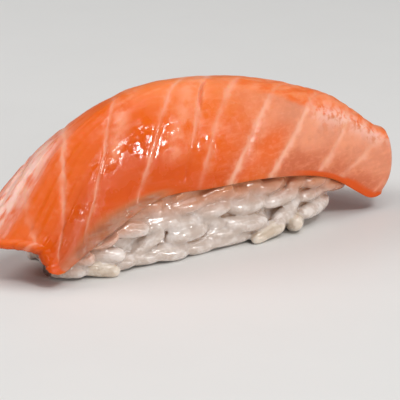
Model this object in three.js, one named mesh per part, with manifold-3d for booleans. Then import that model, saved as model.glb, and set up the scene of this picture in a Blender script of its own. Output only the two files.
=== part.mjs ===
// Salmon nigiri: a slice of raw salmon draped over a hand-pressed heap of seasoned rice.
//
// Millimetres, +Z up. The origin is on the resting surface under the middle of the piece. +X runs along
// the piece, and -Y is the side where the rice shows most below the slice.

import * as THREE from 'three';
import { mergeVertices } from 'three/addons/utils/BufferGeometryUtils.js';
import Module from 'manifold-3d';

const wasm = await Module();
wasm.setup();

// The heap of rice: a long mound with a flat foot.
const riceMiddle = 1.4; // in X
const riceHalfLength = 27.1;
const riceHalfWidth = 10.5;
const riceHeight = 24;
const riceCorner = 2.6; // power of the rounded oblong that the heap makes from above
const footInset = 0.9; // how far the side turns in at the resting surface
const footHeight = 2.5; // up to which it does
const shoulderInset = 4.2; // how far the side has leaned in at the full height
const shoulderStart = 9; // height where it starts to lean
const coreInset = 1.5; // how far the pressed middle stays behind the side
const coreLevels = 6;
const coreSides = 32;

// One cooked grain: a blunt-ended rod.
const grainLength = 7.6;
const grainWidth = 3.3;
const grainFlatness = 0.9; // its height, as a share of its width
const grainTaper = 0.72; // share of the half length, and of the width, where its ends start to close
const grainSides = 5;

// The rows of grains that show round the heap's side.
const grainSink = 1.2; // how far behind the heap's outline a grain's middle lies
const grainPitch = 5.6; // along a row
const firstRow = 1.6; // height of the lowest row
const rowPitch = 2.8; // from row to row, upwards
const rowCount = 5;
const rowShift = 0.5; // every second row starts this share of the pitch further on
const grainSeed = 41;

// How uneven the grains are, either way: place in millimetres or as a share of the pitch, turns in radians.
const uneven = {
  along: 0.3,
  outward: 0.8,
  up: 0.5,
  size: 0.12,
  roll: 0.6,
  lean: 0.7,
  footLean: 0.25,
  yaw: 0.35,
};

// The slice, at seven even stations from its left end to its right end.
const sliceReach = 40.5; // from the middle to either tip
const crownHeight = [7.9, 20.9, 27.3, 28.0, 25.8, 21.3, 13.0];
const crownPlace = [-5.4, -5.2, -5.1, -5.4, -5.9, -6.4, -6.0]; // in Y
const frontHemHeight = [3.1, 8.2, 11.0, 10.9, 10.5, 7.9, 2.2];
const frontHemPlace = [-11.4, -10.1, -10.4, -11.2, -11.5, -10.4, -9.5];
const backHemHeight = [6.4, 7.2, 9.2, 10.6, 10.9, 9.5, 7.0];
const backHemPlace = [5.6, 8.4, 11.0, 11.5, 11.2, 10.3, 8.5];
const frontShoulder = [1.9, 2.6, 2.7, 2.7, 2.8, 3.0, 3.0]; // a higher power is a squarer shoulder
const backShoulder = 1.55;

// How thick the slice is: full on top, and thin at its left end and at the hem in front, where the knife
// ran out.
const topThickness = [1.6, 5.4, 6.0, 6.0, 6.0, 5.6, 4.8];
const frontThickness = 1.7;
const backThickness = 3.2;
const underCrownShift = 0.35; // the lower face's crown lies this share of the thickness further back
const underSoftness = 0.5; // by how much its front shoulder's power is lower
const fittingGap = 0.4; // between the slice and the rice under it

// Both ends of the slice are cut on a slant: how far their corners stay behind the tips, and between
// which places across the slice, from -1 at the front hem to 1 at the back hem, the left end does so.
const leftFrontCut = 11.3;
const leftFrontSpan = [-0.8, 0.4];
const leftBackCut = 9;
const leftBackSpan = [0.35, 1.25];
const rightCut = 5.2;
const rightFrontPower = 4; // a higher power keeps more of the end square
const rightBackPower = 2;

// The slice's rim is rounded: how far its faces end short of it, as shares of its size.
const rimLength = 0.045;
const rimWidth = 0.03;
const rimPower = 8; // keeps the lengthwise share at the ends

// Shallow grooves where the sheets of fat between the muscle flakes meet the surface.
const groovePitch = 7.9;
const grooveStart = 5.3; // along X, where one of them crosses the crown
const grooveSlant = 0.6; // along X for each millimetre that it runs down from the crown
const grooveDepth = 0.35;
const grooveWidth = 0.9;
const hemFade = 4; // how fast the grooves come in from the hems, for the whole width at 1
const endFade = 8; // and from the ends

// Steps along, across and through the slice, and through the coarser room that it takes in the rice.
const sliceSteps = [60, 18, 2];
const roomSteps = [30, 18, 1];
const roomHeight = 3; // how far the room reaches above the slice
const roomPower = 4; // keeps the gap below the slice at its hems

const cornerJoint = 1e-4; // corners nearer than this are one
const groundSize = 200; // of the block that levels the heap's foot

const smooth = THREE.MathUtils.smoothstep;

// A smooth curve through values at even stations, read at u from -1 to 1.
function along(values, u) {
  const last = values.length - 1;
  const place = THREE.MathUtils.clamp((u + 1) / 2, 0, 1) * last;
  const station = Math.min(Math.floor(place), last - 1);
  const t = place - station;
  const at = (i) => values[THREE.MathUtils.clamp(i, 0, last)];
  const [a, b, c, d] = [at(station - 1), at(station), at(station + 1), at(station + 2)];
  const bend = (2 * a - 5 * b + 4 * c - d) * t ** 2;
  const twist = (3 * b - a - 3 * c + d) * t ** 3;
  return 0.5 * (2 * b + (c - a) * t + bend + twist);
}

// How far a rounded oblong of half size 1 reaches in the direction of an angle.
function oblongReach(angle, power) {
  return (Math.abs(Math.cos(angle)) ** power + Math.abs(Math.sin(angle)) ** power) ** (-1 / power);
}

// A repeatable random number from 0 to 1.
function randomFrom(seed) {
  let state = seed;
  return () => {
    state = (state * 1664525 + 1013904223) % 4294967296;
    return state / 4294967296;
  };
}

// ---------------------------------------------------------------- the slice

// The ends' places along X, for v from -1 at the front hem to 1 at the back hem.
function leftEnd(v) {
  const front = leftFrontCut * (1 - smooth(v, ...leftFrontSpan));
  const back = leftBackCut * smooth(v, ...leftBackSpan);
  return -sliceReach + front + back;
}

function rightEnd(v) {
  return sliceReach - rightCut * Math.abs(v) ** (v < 0 ? rightFrontPower : rightBackPower);
}

// A point of the slice's upper face, or with under = 1 of the face that lies on the rice. u runs from
// the left end to the right end, and v from the front hem over the crown to the back hem. The faces
// are moved apart by grow.
function slicePoint(u, v, under, grow) {
  const front = v < 0;
  const angle = (v * Math.PI) / 2;
  const thick = under * along(topThickness, u);
  const crownY = along(crownPlace, u) + underCrownShift * thick;
  const frontY = along(frontHemPlace, u) + under * frontThickness - grow;
  const backY = along(backHemPlace, u) - under * backThickness + grow;
  const crownZ = along(crownHeight, u) - thick + grow;
  const hemZ = along(front ? frontHemHeight : backHemHeight, u);
  const power = front ? along(frontShoulder, u) - underSoftness * under : backShoulder;
  const reach = oblongReach(angle, power);
  const across = reach * Math.sin(angle);
  const x = u < 0 ? -u * leftEnd(v) : u * rightEnd(v);
  const y = crownY + (front ? crownY - frontY : backY - crownY) * across;
  const z = hemZ + (crownZ - hemZ) * reach * Math.cos(angle);
  return new THREE.Vector3(x, y, z);
}

// How deep the grooves are at a point of the upper face.
function grooveAt(point, u, v) {
  const down = Math.hypot(point.y - along(crownPlace, u), point.z - along(crownHeight, u));
  const crossing = point.x + (v < 0 ? 1 : -1) * grooveSlant * down;
  const line = (crossing - grooveStart) / groovePitch;
  const offset = (line - Math.round(line)) * groovePitch;
  const fade = Math.min(1, hemFade * (1 - Math.abs(v)), endFade * (1 - Math.abs(u)));
  return fade * grooveDepth * Math.exp(-((offset / grooveWidth) ** 2));
}

// The slice as a closed slab: a box of steps whose every corner is moved to its place.
function sliceGeometry() {
  const slab = steppedBox(sliceSteps);
  const corners = slab.getAttribute('position');
  for (let i = 0; i < corners.count; i += 1) {
    const depth = corners.getZ(i);
    const round = 1 - Math.sqrt(1 - depth ** 2);
    const u = corners.getX(i);
    const v = corners.getY(i) * (1 - rimWidth * round);
    const top = slicePoint(u, v, 0, 0);
    const point = slicePoint(u, v, 1, 0).lerp(top, (depth + 1) / 2);
    if (depth > 0) {
      point.z -= grooveAt(point, u, v);
    }
    corners.setXYZ(i, point.x * (1 - rimLength * round * u ** rimPower), point.y, point.z);
  }
  return slab;
}

// The room that the slice takes out of the heap: larger than the slice by the gap, and higher.
function sliceRoomGeometry() {
  const room = steppedBox(roomSteps);
  const corners = room.getAttribute('position');
  for (let i = 0; i < corners.count; i += 1) {
    const u = corners.getX(i) * (1 + fittingGap / sliceReach);
    const v = corners.getY(i);
    const top = slicePoint(u, v, 0, roomHeight);
    const point = slicePoint(u, v, 1, -fittingGap).lerp(top, (corners.getZ(i) + 1) / 2);
    corners.setXYZ(i, point.x, point.y, point.z - fittingGap * v ** roomPower);
  }
  return room;
}

// A closed box from -1 to 1 in each direction, in steps.
function steppedBox(steps) {
  return positionsOnly(new THREE.BoxGeometry(2, 2, 2, ...steps));
}

// The same shape with its shared corners merged.
function positionsOnly(geometry) {
  geometry.deleteAttribute('normal');
  geometry.deleteAttribute('uv');
  return mergeVertices(geometry, cornerJoint);
}

// ---------------------------------------------------------------- the rice

// The heap's outline from above, drawn in by an inset.
class HeapOutline extends THREE.Curve {
  constructor(inset) {
    super();
    this.inset = inset;
  }

  getPoint(t, target = new THREE.Vector3()) {
    const angle = t * 2 * Math.PI;
    const reach = oblongReach(angle, riceCorner);
    const x = (riceHalfLength - this.inset) * reach * Math.cos(angle);
    return target.set(riceMiddle + x, (riceHalfWidth - this.inset) * reach * Math.sin(angle), 0);
  }
}

// How far the heap's side leans in at a height.
function sideInset(height) {
  const foot = footInset * (1 - smooth(height, 0, footHeight));
  const shoulder = shoulderInset * smooth(height, shoulderStart, riceHeight);
  return foot + shoulder;
}

// The pressed middle of the heap: a turned profile, stretched to the outline.
function coreGeometry() {
  const profile = [new THREE.Vector2(0, 0)];
  for (let i = 0; i <= coreLevels; i += 1) {
    const height = (riceHeight * i) / coreLevels;
    profile.push(new THREE.Vector2(1 - (coreInset + sideInset(height)) / riceHalfWidth, height));
  }
  profile.push(new THREE.Vector2(0, riceHeight));
  const core = positionsOnly(new THREE.LatheGeometry(profile, coreSides).rotateX(Math.PI / 2));
  const corners = core.getAttribute('position');
  for (let i = 0; i < corners.count; i += 1) {
    const radius = Math.hypot(corners.getX(i), corners.getY(i));
    const angle = Math.atan2(corners.getY(i), corners.getX(i));
    const reach = oblongReach(angle, riceCorner);
    const inset = (1 - radius) * riceHalfWidth;
    const x = radius > 0 ? (riceHalfLength - inset) * reach * Math.cos(angle) : 0;
    const y = radius > 0 ? (riceHalfWidth - inset) * reach * Math.sin(angle) : 0;
    corners.setXYZ(i, riceMiddle + x, y, corners.getZ(i));
  }
  return core;
}

// One grain, lying along X.
function grainGeometry(size) {
  const end = grainLength / 2;
  const girth = grainWidth / 2;
  const profile = [
    new THREE.Vector2(0, -end),
    new THREE.Vector2(grainTaper * girth, -grainTaper * end),
    new THREE.Vector2(girth, 0),
    new THREE.Vector2(grainTaper * girth, grainTaper * end),
    new THREE.Vector2(0, end),
  ];
  const grain = new THREE.LatheGeometry(profile, grainSides);
  grain.rotateZ(-Math.PI / 2);
  grain.scale(size, size, grainFlatness * size);
  return positionsOnly(grain);
}

// Rows of grains round the heap's side, pressed into it at uneven angles.
function grainGeometries() {
  const random = randomFrom(grainSeed);
  const spread = (amount) => amount * (2 * random() - 1);
  const grains = [];
  for (let row = 0; row < rowCount; row += 1) {
    const height = firstRow + rowPitch * row;
    const outline = new HeapOutline(sideInset(height) + grainSink);
    const count = Math.round(outline.getLength() / grainPitch);
    for (let i = 0; i < count; i += 1) {
      const share = ((i + 1 + rowShift * (row % 2) + spread(uneven.along)) / count) % 1;
      const place = outline.getPointAt(share);
      const tangent = outline.getTangentAt(share);
      const outward = new THREE.Vector3(tangent.y, -tangent.x, 0);
      const lean = spread(row === 0 ? uneven.footLean : uneven.lean);
      const grain = grainGeometry(1 + spread(uneven.size));
      grain.rotateX(spread(uneven.roll));
      grain.rotateY(lean);
      grain.rotateZ(Math.atan2(tangent.y, tangent.x) + spread(uneven.yaw));
      const centre = place.addScaledVector(outward, spread(uneven.outward));
      grain.translate(centre.x, centre.y, height + spread(uneven.up));
      grains.push(grain);
    }
  }
  return grains;
}

// ---------------------------------------------------------------- joining and cutting

function solidFrom(geometry) {
  return new wasm.Manifold(new wasm.Mesh({
    numProp: 3,
    vertProperties: new Float32Array(geometry.getAttribute('position').array),
    triVerts: new Uint32Array(geometry.getIndex().array),
  }));
}

function geometryFrom(solid) {
  const mesh = solid.getMesh();
  const geometry = new THREE.BufferGeometry();
  geometry.setAttribute('position', new THREE.BufferAttribute(mesh.vertProperties, 3));
  geometry.setIndex(new THREE.BufferAttribute(mesh.triVerts, 1));
  return geometry;
}

// The part of a solid that is one body, without loose scraps.
function largestBody(solid) {
  const bodies = solid.decompose();
  return bodies.reduce((best, body) => (body.volume() > best.volume() ? body : best));
}

function riceGeometry() {
  const ground = new THREE.BoxGeometry(groundSize, groundSize, groundSize).translate(0, 0, -groundSize / 2);
  let heap = solidFrom(coreGeometry());
  for (const grain of grainGeometries()) {
    heap = heap.add(solidFrom(grain));
  }
  heap = heap.subtract(solidFrom(positionsOnly(ground)));
  heap = heap.subtract(solidFrom(sliceRoomGeometry()));
  return geometryFrom(largestBody(heap));
}

// ---------------------------------------------------------------- the nigiri

const rice = new THREE.Mesh(
  riceGeometry(),
  new THREE.MeshStandardMaterial({ color: 0xe6dcd6, roughness: 0.4, metalness: 0 }),
);
rice.name = 'rice';

const salmon = new THREE.Mesh(
  sliceGeometry(),
  new THREE.MeshStandardMaterial({ color: 0xe8804f, roughness: 0.3, metalness: 0 }),
);
salmon.name = 'salmon';

const nigiri = new THREE.Group();
nigiri.add(rice, salmon);

export default nigiri;
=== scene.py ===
import math

import bpy
import numpy as np
from mathutils import Matrix, Vector, noise


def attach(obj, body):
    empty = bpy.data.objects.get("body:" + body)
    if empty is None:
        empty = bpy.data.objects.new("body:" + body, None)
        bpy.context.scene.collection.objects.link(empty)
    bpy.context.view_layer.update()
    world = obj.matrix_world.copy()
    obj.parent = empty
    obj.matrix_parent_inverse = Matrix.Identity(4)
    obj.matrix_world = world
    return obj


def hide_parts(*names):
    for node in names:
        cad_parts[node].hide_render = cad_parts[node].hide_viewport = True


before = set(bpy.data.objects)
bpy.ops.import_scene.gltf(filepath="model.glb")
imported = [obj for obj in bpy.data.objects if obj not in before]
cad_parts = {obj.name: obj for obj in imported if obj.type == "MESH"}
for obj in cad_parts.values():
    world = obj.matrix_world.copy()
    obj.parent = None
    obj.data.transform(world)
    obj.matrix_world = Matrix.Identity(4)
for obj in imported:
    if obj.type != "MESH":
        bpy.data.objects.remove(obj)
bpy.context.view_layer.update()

# ---------------------------------------------------------------- the slice of salmon
# One slice cut on a slant across a raw fillet and draped over the rice. Thin sheets of fat part the
# flesh into flakes, the cut face is wet, and the left front hem is so thin that rice shows through it.

# Lengths are in millimetres. u runs along the slice from -1 at its left end to 1, and v runs over it
# from -1 at its front hem to 1 at its back hem.
MM = 0.001
SLICE_REACH = 40.5
FRONT_DROP, BACK_DROP = 21.0, 24.0  # from crown to hem along the faces

# The slice at even stations from its left end to its right one.
CROWN_HEIGHT = [7.9, 20.9, 27.3, 28.0, 25.8, 21.2, 13.7]
CROWN_PLACE = [-5.4, -5.2, -5.1, -5.4, -5.9, -6.4, -6.0]
FRONT_HEM_HEIGHT = [3.1, 6.3, 10.7, 10.9, 10.5, 7.9, 1.4]
FRONT_HEM_PLACE = [-11.4, -10.1, -10.4, -11.2, -11.5, -10.4, -9.5]
BACK_HEM_HEIGHT = [6.4, 7.2, 9.2, 10.6, 10.9, 9.5, 7.0]
BACK_HEM_PLACE = [5.6, 8.4, 11.0, 11.5, 11.2, 10.3, 8.5]
FRONT_SHOULDER = [1.9, 2.6, 2.7, 2.7, 2.8, 3.0, 3.0]  # how square its front bend is, 2 being round
TOP_THICKNESS = [1.6, 5.4, 6.0, 6.0, 6.0, 5.6, 4.8]
THIN_WIDTH = [9.5, 5.5, 3.2, 2.6, 2.2, 1.2, 0.8]  # of the hem where the slice runs out thin
CLEAR_WIDTH = [7.0, 4.2, 1.0, 0.2, 0.2, 0.2, 0.2]  # of the see-through part of that hem
BACK_SHOULDER = 1.55
FRONT_THICKNESS, BACK_THICKNESS = 1.7, 3.2
THINNING, LEAST_HEM, HEM_FALL = 0.85, 0.2, (0.1, 1.0)
UNDER_CROWN_SHIFT, UNDER_SOFTNESS = 0.35, 0.5

# Its ends: how far each is cut back, and between which v.
LEFT_FRONT_CUT, LEFT_FRONT_SPAN = 11.3, (-0.8, 0.4)
LEFT_BACK_CUT, LEFT_BACK_SPAN = 9.0, (0.35, 1.25)
RIGHT_TRIM, RIGHT_CUT, RIGHT_FRONT_POWER, RIGHT_BACK_POWER = 1.4, 3.0, 7, 2
CORNER_LIFT, CORNER_START, CORNER_LENGTH = 1.3, 0.9, 0.1  # the hem rises again at the right end
TONGUE_PLACE, TONGUE_SPREAD = -0.75, 0.25  # a tongue of flesh by the left front corner
TONGUE_REACH, TONGUE_DROOP, TONGUE_LENGTH = 2.0, 1.5, (0.6, 1.0)
END_UNEVENNESS, END_WAVES, END_WAVES_FROM = 0.4, (31, 13), (-0.9, -0.6)
RIM_LENGTH, RIM_WIDTH, RIM_POWER = 0.045, 0.03, 8

# Where each sheet of fat crosses the crown, the middle of the front and the front hem, how white it is,
# and how far down it stays so.
FAT_SHEETS = [
    (-1.13, -1.34, -1.56, 0.4, 1.3),
    (-0.86, -1.08, -1.30, 0.5, 1.3),
    (-0.65, -0.89, -1.15, 0.8, 1.1),
    (-0.40, -0.62, -0.85, 0.6, 1.3),
    (-0.05, -0.27, -0.48, 0.7, 1.1),
    (0.07, -0.06, -0.19, 0.8, 0.45),
    (0.25, 0.07, -0.09, 0.6, 1.0),
    (0.48, 0.29, 0.09, 1.0, 1.3),
    (0.66, 0.51, 0.31, 1.0, 1.3),
    (0.87, 0.75, 0.59, 0.9, 1.3),
    (1.18, 0.95, 0.72, 0.7, 1.3),
    (1.50, 1.22, 0.95, 0.5, 1.3),
]
SHEET_SLANT = 0.9  # they lean, so they lie closer together than along the slice
GROOVE_DEPTH, GROOVE_WIDTH, FLAKE_SWELL, FLAKES_FROM = 0.15, 0.5, 0.10, (0.0, 0.4)

# Pale patches of flesh: place counted in sheets of fat, half width, how far down they reach, how pale.
PALE_PATCHES = [
    (3.22, 0.16, 0.45, 0.9),
    (4.62, 0.30, 0.75, 0.8),
    (6.62, 0.20, 0.40, 0.6),
    (7.25, 0.15, 0.90, 0.4),
    (8.35, 0.35, 0.80, 0.7),
    (9.40, 0.40, 0.80, 0.6),
]
# A deep orange patch: place and half width counted in sheets of fat, and how far down it starts.
DEEP_PATCH = (7.55, 0.38, 0.30)
# A painted sheen on the left slope, pale streaks that stand in for light reflected there: its middle
# and its size, as (u, v).
PAINTED_SHEEN, PAINTED_SHEEN_SIZE = (-0.79, 0.21), (0.18, 0.15)

# Its relief: how high each kind of unevenness stands, how large it is, and where it fades out.
LUMP_HEIGHT, LUMP_SIZE = 0.10, (9.0, 5.0, 5.0)
SMALL_LUMP_HEIGHT, SMALL_LUMP_SIZE = 0.045, 2.6
PIMPLE_HEIGHT, PIMPLE_SIZE = 0.025, 1.1
FIBRE_HEIGHT, FIBROUS_HEIGHT, FIBRE_SIZE = 0.03, 0.08, (3.6, 0.8, 0.8)
FIBROUS_ALONG, FIBROUS_BACK = (0.15, 0.45), (0.1, 0.5)
PRESSED_HEIGHT, PRESSED_SIZE, PRESSED_FROM = 0.09, (4.2, 2.4, 2.4), (0.05, 0.7)
RELIEF_SINK, RELIEF_LIMIT = 0.05, 0.45
HEM_FADE, END_FADE = (0.2, 2.2), (0.2, 2.5)

# A short tear in the flesh, and a raised ragged line near the right end, as (u, v) places.
SPLIT = [(0.035, -0.16), (-0.025, -0.38), (-0.062, -0.56)]
SPLIT_DEPTH, SPLIT_WIDTH, SPLIT_FADE = 0.8, 0.3, ((0, 0.25), (0.7, 1))
RIDGE = [(0.30, -0.40), (0.55, -0.55), (0.72, -0.53), (0.96, -0.46)]
RIDGE_HEIGHT, RIDGE_WIDTH, RIDGE_FADE = 0.22, 0.7, ((0, 0.3), (0.85, 1.1))
RIDGE_WAVES, RIDGE_WAVE_SIZE, ABOVE_RIDGE = 0.8, 1.4, (-1.0, 1.0)

# Swellings of the front, and one hollow, each as u, v, radius and height.
SWELLINGS = [
    (0.0, -0.87, 3.4, 0.48),
    (-0.36, -0.80, 2.6, 0.25),
    (-0.10, -0.55, 2.5, -0.15),
]


def along(values, u):
    """A smooth curve through values at even stations, read at u."""
    values = np.asarray(values, float)
    last = len(values) - 1
    place = np.clip((np.asarray(u, float) + 1) / 2, 0, 1) * last
    station = np.minimum(place.astype(int), last - 1)
    t = place - station
    a, b, c, d = (values[np.clip(station + i, 0, last)] for i in (-1, 0, 1, 2))
    bend = (2 * a - 5 * b + 4 * c - d) * t**2
    twist = (3 * b - a - 3 * c + d) * t**3
    return 0.5 * (2 * b + (c - a) * t + bend + twist)


def smooth(x, low, high):
    """0 up to low, 1 from high on, and an even change between them."""
    t = np.clip((x - low) / (high - low), 0, 1)
    return t * t * (3 - 2 * t)


def between(x, rise, fall):
    """1 from the end of rise to the start of fall, and 0 before and after them."""
    return smooth(x, *rise) * (1 - smooth(x, *fall))


def hump(offset, width):
    """1 in the middle, falling off smoothly over a width to either side."""
    return np.exp(-((offset / width) ** 2))


def oblong_reach(angle, power):
    """How far an oblong of half width 1 reaches at an angle. Power 2 makes it round, more squarer."""
    return (np.abs(np.cos(angle)) ** power + np.abs(np.sin(angle)) ** power) ** (-1 / power)


def slice_point(u, v, under):
    """A point of the slice's upper face, or with under = 1 of the face that lies on the rice."""
    front = v < 0
    angle = v * np.pi / 2
    thick = under * along(TOP_THICKNESS, u)
    crown_y = along(CROWN_PLACE, u) + UNDER_CROWN_SHIFT * thick
    front_y = along(FRONT_HEM_PLACE, u) + under * FRONT_THICKNESS
    back_y = along(BACK_HEM_PLACE, u) - under * BACK_THICKNESS
    crown_z = along(CROWN_HEIGHT, u) - thick
    hem_z = np.where(front, along(FRONT_HEM_HEIGHT, u), along(BACK_HEM_HEIGHT, u))
    hem_z = hem_z + CORNER_LIFT * np.clip((u - CORNER_START) / CORNER_LENGTH, 0, 1) ** 2
    shoulder = along(FRONT_SHOULDER, u) - UNDER_SOFTNESS * under
    reach = oblong_reach(angle, np.where(front, shoulder, BACK_SHOULDER))
    front_cut = LEFT_FRONT_CUT * (1 - smooth(v, *LEFT_FRONT_SPAN))
    back_cut = LEFT_BACK_CUT * smooth(v, *LEFT_BACK_SPAN)
    tongue = hump(v - TONGUE_PLACE, TONGUE_SPREAD)
    fine, broad = END_WAVES
    uneven = END_UNEVENNESS * np.sin(fine * v) * np.sin(broad * v + 1) * smooth(v, *END_WAVES_FROM)
    left = -SLICE_REACH + front_cut + back_cut - TONGUE_REACH * tongue + np.abs(uneven)
    right_power = np.where(front, RIGHT_FRONT_POWER, RIGHT_BACK_POWER)
    right = SLICE_REACH - RIGHT_TRIM - RIGHT_CUT * np.abs(v) ** right_power
    x = np.where(u < 0, -u * left, u * right)
    width = np.where(front, crown_y - front_y, back_y - crown_y)
    y = crown_y + width * reach * np.sin(angle)
    z = hem_z + (crown_z - hem_z) * reach * np.cos(angle)
    z = z - TONGUE_DROOP * tongue * smooth(-u, *TONGUE_LENGTH)
    return np.stack([x, y, z], -1)


def near_hem(u, v, widths):
    """1 at the front hem, falling to 0 over widths that are given at even stations."""
    from_hem = (1 + v) * FRONT_DROP
    return (1 - smooth(from_hem / np.maximum(along(widths, u), LEAST_HEM), *HEM_FALL)) * (v < 0)


def lower_face(u, v):
    """A point of the face on the rice, which rises towards the upper face where the slice thins."""
    return slice_point(u, v, 1 - THINNING * near_hem(u, v, THIN_WIDTH))


def slab_point(u, v, depth):
    """A point through the slab, from depth -1 on the rice to 1 on top, with the rim rounded."""
    rounding = 1 - math.sqrt(max(0.0, 1 - depth**2))
    inner = v * (1 - RIM_WIDTH * rounding)
    share = (depth + 1) / 2
    point = lower_face(u, inner) * (1 - share) + slice_point(u, inner, 0) * share
    point[..., 0] *= 1 - RIM_LENGTH * rounding * u**RIM_POWER
    return point


SEED_SPACING = 7.3  # between the parts of the noise that different seeds read
NOISE_GAIN = 1.6


def ripple(points, size, seed):
    """Smooth unevenness from about -1 to 1, with swells of one size in mm, or of one per axis."""
    places = np.asarray(points, float) / size + seed * SEED_SPACING
    flat = places.reshape(-1, 3)
    values = np.fromiter((noise.noise(Vector(p)) for p in flat), float, len(flat))
    return NOISE_GAIN * values.reshape(places.shape[:-1])


def fat_place(u, v):
    """The sheet of fat that a place is at, counted along the slice, and their spacing there in mm."""
    crown, middle, hem = (np.array([sheet[i] for sheet in FAT_SHEETS]) for i in range(3))
    bend = 2 * crown + 2 * hem - 4 * middle
    lean = crown + bend - hem
    lines = crown + lean * v[..., None] + bend * np.minimum(v, 0)[..., None] ** 2
    before = np.clip((lines < u[..., None]).sum(-1) - 1, 0, len(FAT_SHEETS) - 2)
    first, second = (np.take_along_axis(lines, before[..., None] + i, -1)[..., 0] for i in (0, 1))
    return before + (u - first) / (second - first), (second - first) * SHEET_SLANT * SLICE_REACH


def beside(path, u, v):
    """How far in mm a place is right of or above a path of (u, v) places, and its share along it."""
    path = np.array(path)
    upright = abs(path[-1, 1] - path[0, 1]) > abs(path[-1, 0] - path[0, 0])
    if upright:
        order = np.argsort(path[:, 1])
        offset = (u - np.interp(v, path[order, 1], path[order, 0])) * SLICE_REACH
        share = (v - path[0, 1]) / (path[-1, 1] - path[0, 1])
    else:
        offset = (v - np.interp(u, path[:, 0], path[:, 1])) * FRONT_DROP
        share = (u - path[0, 0]) / (path[-1, 0] - path[0, 0])
    return offset, share


def surface_normals(points):
    """The direction out of the surface at each point of a grid of points."""
    normal = np.cross(np.gradient(points, axis=0), np.gradient(points, axis=1))
    return normal / np.maximum(np.linalg.norm(normal, axis=-1, keepdims=True), 1e-9)


STEPS_ALONG, STEPS_ACROSS, RIM_STEPS = 300, 116, 6
stations = [np.linspace(-1, 1, steps + 1) for steps in (STEPS_ALONG, STEPS_ACROSS)]
u, v = np.meshgrid(*stations, indexing="ij")
top = slab_point(u, v, 1)

sheet_count, sheet_pitch = fat_place(u, v)
from_sheet = np.abs(sheet_count - np.round(sheet_count)) * sheet_pitch
from_hem = (1 - np.abs(v)) * np.where(v < 0, FRONT_DROP, BACK_DROP)
from_end = (1 - np.abs(u)) * SLICE_REACH
edge_fade = smooth(from_hem, *HEM_FADE) * smooth(from_end, *END_FADE)

# Flakes swell between the sheets of fat, with a groove along each sheet, but not along the crown.
flaked = smooth(np.abs(v), *FLAKES_FROM)
bulge = np.sin(np.clip(from_sheet / sheet_pitch * 2, 0, 1) * np.pi / 2) - 1
swell = FLAKE_SWELL * flaked * bulge
groove = GROOVE_DEPTH * flaked * hump(from_sheet, GROOVE_WIDTH)

ridge_offset, ridge_share = beside(RIDGE, u, v)
ridge = hump(ridge_offset, RIDGE_WIDTH) * between(ridge_share, *RIDGE_FADE)
ragged = RIDGE_HEIGHT * ridge * (1 + RIDGE_WAVES * ripple(top, RIDGE_WAVE_SIZE, 6))
fibrous = smooth(u, *FIBROUS_ALONG) * smooth(ridge_offset, *ABOVE_RIDGE)
fibrous = fibrous * (1 - smooth(v, *FIBROUS_BACK))
split_offset, split_share = beside(SPLIT, u, v)
split = between(split_share, *SPLIT_FADE) * hump(split_offset, SPLIT_WIDTH)

lumps = LUMP_HEIGHT * ripple(top, LUMP_SIZE, 1) + SMALL_LUMP_HEIGHT * ripple(top, SMALL_LUMP_SIZE, 2)
pimples = PIMPLE_HEIGHT * ripple(top, PIMPLE_SIZE, 5)
fibres = (FIBRE_HEIGHT + FIBROUS_HEIGHT * fibrous) * ripple(top, FIBRE_SIZE, 3)
on_rice = smooth(near_hem(u, v, CLEAR_WIDTH), *PRESSED_FROM)
pressed = PRESSED_HEIGHT * ripple(top, PRESSED_SIZE, 4) * on_rice  # by the grains under the thin hem
relief = edge_fade * (lumps + pimples + fibres + swell - groove + ragged) + pressed - RELIEF_SINK
relief = relief - SPLIT_DEPTH * split
for swell_u, swell_v, radius, height in SWELLINGS:
    from_middle = np.hypot((u - swell_u) * SLICE_REACH, (v - swell_v) * FRONT_DROP)
    relief = relief + height * hump(from_middle, radius) * edge_fade
top = top + surface_normals(top) * np.minimum(relief, RELIEF_LIMIT)[..., None]

grid = np.arange(u.size).reshape(u.shape)
loop = np.concatenate([grid[:, 0], grid[-1, 1:], grid[-2::-1, -1], grid[0, -2:0:-1]])
rim_depths = [math.cos(math.pi * k / RIM_STEPS) for k in range(1, RIM_STEPS)]
rim_u, rim_v = u.ravel()[loop], v.ravel()[loop]
rim = [slab_point(rim_u, rim_v, depth) for depth in rim_depths]
slab_vertices = np.concatenate([top.reshape(-1, 3), slab_point(u, v, -1).reshape(-1, 3), *rim])
slab_u = np.concatenate([u.ravel(), u.ravel(), np.tile(rim_u, len(rim))])
slab_v = np.concatenate([v.ravel(), v.ravel(), np.tile(rim_v, len(rim))])
slab_depth = np.concatenate([np.ones(u.size), -np.ones(u.size), np.repeat(rim_depths, len(loop))])

corners = [grid[:-1, :-1], grid[1:, :-1], grid[1:, 1:], grid[:-1, 1:]]
upper = np.stack(corners, -1).reshape(-1, 4)
slab_faces = [upper, upper[:, ::-1] + u.size]
rim_rings = [2 * u.size + k * len(loop) + np.arange(len(loop)) for k in range(len(rim))]
rings = [loop, *rim_rings, loop + u.size]
for first, second in zip(rings, rings[1:]):
    slab_faces.append(np.stack([first, second, np.roll(second, -1), np.roll(first, -1)], -1))


def new_piece(name, vertices, faces, material):
    """A smooth mesh object from arrays in millimetres."""
    mesh = bpy.data.meshes.new(name)
    mesh.from_pydata((np.asarray(vertices) * MM).tolist(), [], np.asarray(faces).tolist())
    mesh.polygons.foreach_set("use_smooth", np.ones(len(mesh.polygons), bool))
    mesh.materials.append(material)
    mesh.update()
    piece = bpy.data.objects.new(name, mesh)
    bpy.context.scene.collection.objects.link(piece)
    return piece


def note(piece, name, values):
    """A value at each vertex that the material reads by name."""
    made = piece.data.attributes.new(name, "FLOAT", "POINT")
    made.data.foreach_set("value", np.asarray(values, np.float32).ravel())


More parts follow.
